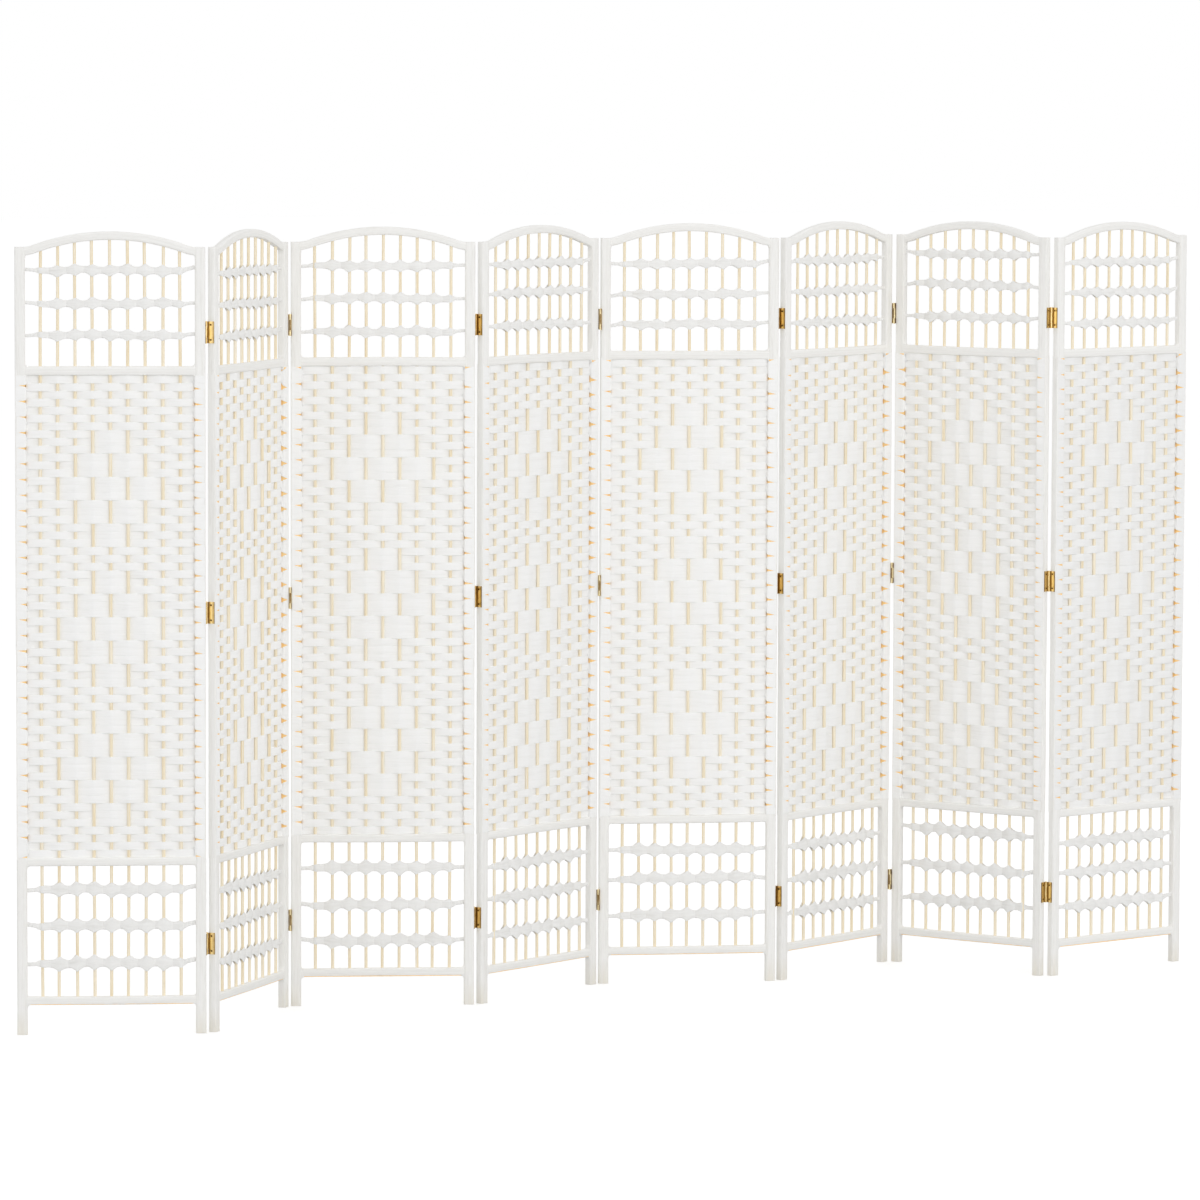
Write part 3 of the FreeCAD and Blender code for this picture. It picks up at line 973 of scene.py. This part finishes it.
for panel in range(panelCount):
    rng = random.Random(frameBars["seed"] + panel)
    growStileCore(panel, rng)
    growStileWrap(panel, rng)
    growEdgeStrip(panel, rng)
    growRails(panel, rng)
    growCornerWraps(panel, rng)
    growRailSeam(panel)
print("frames wrapped")


# hinges: brass on the solids, screws in the leaves
def valleyBehind(line):
    return screen["headings"][line + 1] > screen["headings"][line]


for line in range(panelCount - 1):
    side = 1 if valleyBehind(line) else -1
    for kind, panel in (("pinned", line), ("free", line + 1)):
        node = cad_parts[f"hinges_{line + 1}_{line + 2}_{kind}_leaves"]
        # brass with painted highlights and painted shade in bands
        brass = brassPaintedSheenMaterial(f"hingeBrass_{kind}_{line + 1}", brassLook, places[panel], side)
        node.data.materials.clear()
        node.data.materials.append(brass)

screws = {
    "radius": 2.1 * mm,
    "height": 1.3 * mm,
    "slotWidth": 0.6 * mm,
    "slotLength": 3.0,  # against the radius, so that it cuts right across
    "sides": 14,
    "inset": 7 * mm,
}


def screwTree():
    # countersunk head with a straight slot, one on each point, facing +X
    tree, given, result = newTree("leafScrews", ["Radius", "Height", "Slot"], ["Turn"])
    feeds = {"Vertices": screws["sides"], "Radius": given["Radius"], "Depth": given["Height"]}
    head = addNode(tree, "GeometryNodeMeshCylinder", feeds).outputs[0]
    length = mathNode(tree, "MULTIPLY", given["Radius"], screws["slotLength"])
    size = combined(tree, {0: length, 1: given["Slot"], 2: given["Slot"]})
    slot = addNode(tree, "GeometryNodeMeshCube", {"Size": size}).outputs[0]
    lift = combined(tree, {2: mathNode(tree, "MULTIPLY", given["Height"], 0.5)})
    slot = addNode(tree, "GeometryNodeTransform", {"Geometry": slot, "Translation": lift}).outputs[0]
    feeds = {"Mesh 1": head, "Mesh 2": slot}
    cut = addNode(tree, "GeometryNodeMeshBoolean", feeds, operation="DIFFERENCE", solver="EXACT").outputs[0]
    points = addNode(tree, "GeometryNodeMeshToPoints", {"Mesh": given["Geometry"]}).outputs[0]
    feeds = {"Points": points, "Instance": cut, "Rotation": given["Turn"]}
    many = addNode(tree, "GeometryNodeInstanceOnPoints", feeds).outputs[0]
    treeEnd(tree, many, given, result)
    return tree


def growScrews(panel, line, onRight):
    y = (screen["stileDepth"] - screen["leafWidth"]) / 2 * (1 if valleyBehind(line) else -1)
    x = screen["width"] + screws["height"] / 2 if onRight else -screws["height"] / 2
    half = screen["hingeHeight"] / 2 - screws["inset"]
    runs = [{"points": [(x, y, z + up)]} for z in screen["hingeHeights"] for up in (-half, half)]
    inputs = {
        "Radius": screws["radius"],
        "Height": screws["height"],
        "Slot": screws["slotWidth"],
        "Turn": (0.0, math.pi / 2 if onRight else -math.pi / 2, 0.0),
        "Finish": screwMetal,
    }
    growPiece("screws_right" if onRight else "screws_left", panel, "screw", runs, inputs)


trees["screw"] = screwTree()
for panel in range(panelCount):
    if panel < panelCount - 1:
        growScrews(panel, panel, True)
    if panel > 0:
        growScrews(panel, panel - 1, False)
print("screws set")


# floor, light and camera
studio = {
    "floorReach": 60.0,
    "floorTone": 0.60,
    "floorRoughness": 0.9,
    "floorLift": 0.485,  # seen, but lights nothing
    "worldLight": 0.80,
    "aim": (0, 0, 0.9),
}
lamps = {
    "keyLight": {"power": 100.0, "size": (7.0, 4.0), "place": (1.6, -6.6, 2.4)},
    "headLight": {"power": 115.0, "size": (5.0, 3.0), "place": (-5.05, -10.86, 2.6)},
    "sideLight": {"power": 90.0, "size": (6.0, 6.0), "place": (-14.0, -5.5, 3.0)},
    "backLight": {"power": 120.0, "size": (15.0, 5.0), "place": (0.5, 7.5, 3.0)},
}


def shownRays(tree):
    # what the camera sees, and what brass mirrors
    rays = addNode(tree, "ShaderNodeLightPath").outputs
    shown = mathNode(tree, "MAXIMUM", rays["Is Camera Ray"], rays["Is Glossy Ray"])
    return mathNode(tree, "MAXIMUM", shown, rays["Is Transmission Ray"])


def floorPlane():
    mesh = bpy.data.meshes.new("studioFloor")
    reach = studio["floorReach"]
    corners = [(-reach, -reach, 0), (reach, -reach, 0), (reach, reach, 0), (-reach, reach, 0)]
    mesh.from_pydata(corners, [], [(0, 1, 2, 3)])
    floor = bpy.data.objects.new("studioFloor", mesh)
    bpy.context.scene.collection.objects.link(floor)
    material, tree, shader = newMaterial("floorPaint")
    shader.inputs["Base Color"].default_value = (studio["floorTone"],) * 3 + (1,)
    shader.inputs["Roughness"].default_value = studio["floorRoughness"]
    strength = mathNode(tree, "MULTIPLY", shownRays(tree), studio["floorLift"])
    glow = addNode(tree, "ShaderNodeEmission", {"Strength": strength})
    both = addNode(tree, "ShaderNodeAddShader", {0: shader.outputs[0], 1: glow.outputs[0]})
    tree.links.new(both.outputs[0], tree.nodes["Material Output"].inputs["Surface"])
    mesh.materials.append(material)


def studioWorld():
    world = bpy.data.worlds.new("studioWorld")
    world.use_nodes = True
    tree = world.node_tree
    sky = tree.nodes["Background"]
    feeds = {"Value": shownRays(tree), "To Min": studio["worldLight"], "To Max": 1.0}
    strength = addNode(tree, "ShaderNodeMapRange", feeds).outputs[0]
    sky.inputs["Color"].default_value = (1, 1, 1, 1)
    tree.links.new(strength, sky.inputs["Strength"])
    bpy.context.scene.world = world


def areaLight(name, power, size, place):
    data = bpy.data.lights.new(name, "AREA")
    data.energy = power
    data.shape = "RECTANGLE"
    data.size, data.size_y = size
    lamp = bpy.data.objects.new(name, data)
    lamp.location = place
    lamp.rotation_euler = (Vector(studio["aim"]) - Vector(place)).to_track_quat("-Z", "Y").to_euler()
    bpy.context.scene.collection.objects.link(lamp)


photoView = {
    "place": (-6.0450, -12.9298, 2.0948),
    "yaw": 24.9657,  # degrees from +Y towards +X
    "pitch": -4.8907,
    "roll": 0.2081,
    "focalPixels": 6490.6,
    "imagePixels": 1200,
    "sensor": 36.0,
    "farthest": 300.0,
}


def photoCamera():
    data = bpy.data.cameras.new("photoCamera")
    data.sensor_width = photoView["sensor"]
    data.lens = photoView["focalPixels"] / photoView["imagePixels"] * data.sensor_width
    data.clip_end = photoView["farthest"]
    camera = bpy.data.objects.new("photoCamera", data)
    yaw, pitch = math.radians(photoView["yaw"]), math.radians(photoView["pitch"])
    level = math.cos(pitch)
    ahead = Vector((math.sin(yaw) * level, math.cos(yaw) * level, math.sin(pitch)))
    camera.location = photoView["place"]
    camera.rotation_mode = "QUATERNION"
    tilt = Matrix.Rotation(math.radians(photoView["roll"]), 3, "Z").to_quaternion()
    camera.rotation_quaternion = ahead.to_track_quat("-Z", "Y") @ tilt
    bpy.context.scene.collection.objects.link(camera)
    bpy.context.scene.camera = camera


floorPlane()
studioWorld()
for name, lamp in lamps.items():
    areaLight(name, **lamp)
photoCamera()
bpy.context.scene.view_settings.view_transform = "Standard"
print("studio set")
